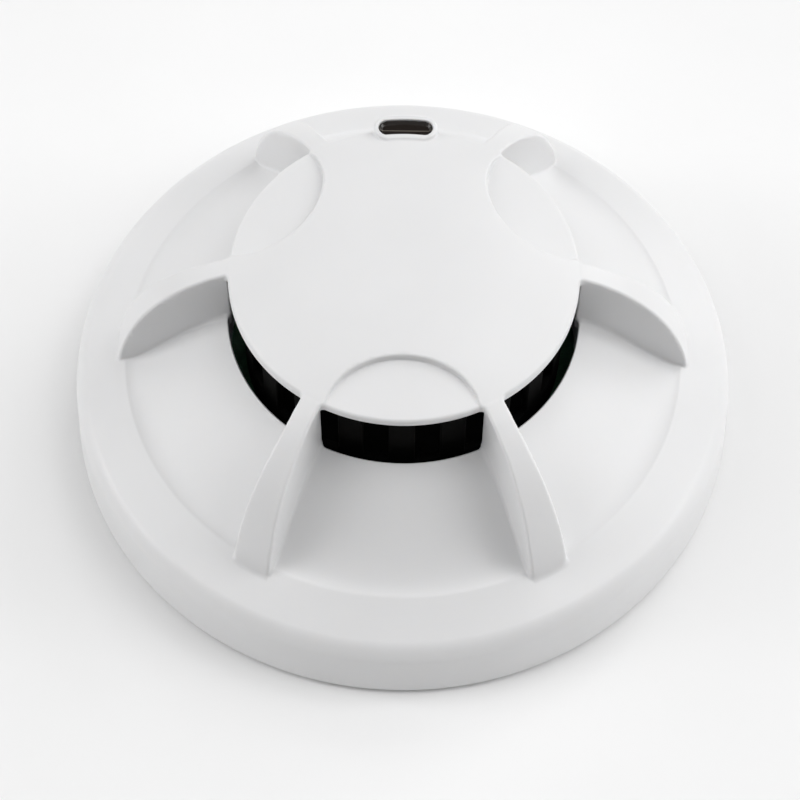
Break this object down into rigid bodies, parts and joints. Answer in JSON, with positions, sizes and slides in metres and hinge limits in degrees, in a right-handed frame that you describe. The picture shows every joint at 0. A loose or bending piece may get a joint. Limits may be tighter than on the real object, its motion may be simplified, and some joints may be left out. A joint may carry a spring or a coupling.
{
  "type": "heat detector",
  "caption": "Round white ceiling heat detector: a raised disc on curved fins over a dark sensing opening, with an indicator window, twisted onto a mounting base.",
  "frame": {"origin": "centre of the mounting base's ceiling face", "axes": "+Z away from the ceiling, out of the sensing face; +Y towards the indicator window"},
  "size_m": [0.0998, 0.1, 0.0372],
  "materials": {
    "cover_plastic": "white moulded, satin gloss",
    "base_plastic": "white moulded, matte",
    "black_plastic": "black moulded, matte",
    "smoked_window": "smoked, clear gloss",
    "clear_plastic": "clear, polished",
    "led_plastic": "red diffused",
    "black_rubber": "soft black",
    "bead_epoxy": "dark epoxy",
    "tinned_wire": "bright tinned",
    "board_laminate": "green solder mask",
    "chip_plastic": "moulded epoxy",
    "chip_ceramic": "ceramic with solder ends",
    "capacitor_can": "sleeved can",
    "plated_steel": "bright zinc plate",
    "brass_metal": "bright brass"
  },
  "bodies": {
    "base": {"base_plate": "base_plastic", "terminal_1": "brass_metal", "terminal_2": "brass_metal", "terminal_3": "brass_metal", "terminal_4": "brass_metal", "clamp_plate_1": "plated_steel", "clamp_plate_2": "plated_steel", "clamp_plate_3": "plated_steel", "clamp_plate_4": "plated_steel", "terminal_screw_1": "plated_steel", "terminal_screw_2": "plated_steel", "terminal_screw_3": "plated_steel", "terminal_screw_4": "plated_steel"},
    "head": {"outer_cover": "cover_plastic", "light_window": "smoked_window", "light_pipe": "clear_plastic", "indicator_led": "led_plastic", "chamber_guard": "black_plastic", "chamber_floor": "black_plastic", "thermistor_grommet": "black_rubber", "thermistor_bead": "bead_epoxy", "thermistor_lead_1": "tinned_wire", "thermistor_lead_2": "tinned_wire", "circuit_board": "board_laminate", "microcontroller": "chip_plastic", "bridge_rectifier": "chip_plastic", "crystal": "plated_steel", "filter_capacitor_1": "capacitor_can", "filter_capacitor_2": "capacitor_can", "resistor_1": "chip_ceramic", "resistor_2": "chip_ceramic", "resistor_3": "chip_ceramic", "resistor_4": "chip_ceramic", "rear_housing": "base_plastic", "housing_screw_1": "plated_steel", "housing_screw_2": "plated_steel", "housing_screw_3": "plated_steel", "contact_blade_1": "tinned_wire", "contact_blade_2": "tinned_wire", "contact_blade_3": "tinned_wire", "contact_blade_4": "tinned_wire", "contact_rivet_1": "brass_metal", "contact_rivet_2": "brass_metal", "contact_rivet_3": "brass_metal", "contact_rivet_4": "brass_metal"}
  },
  "joints": [
    {"name": "head_twist", "type": "hinge", "parent": "base", "child": "head", "pos_m": [0, 0, 0], "axis": [0, 0, 1], "range_deg": [0, 18]}
  ]
}
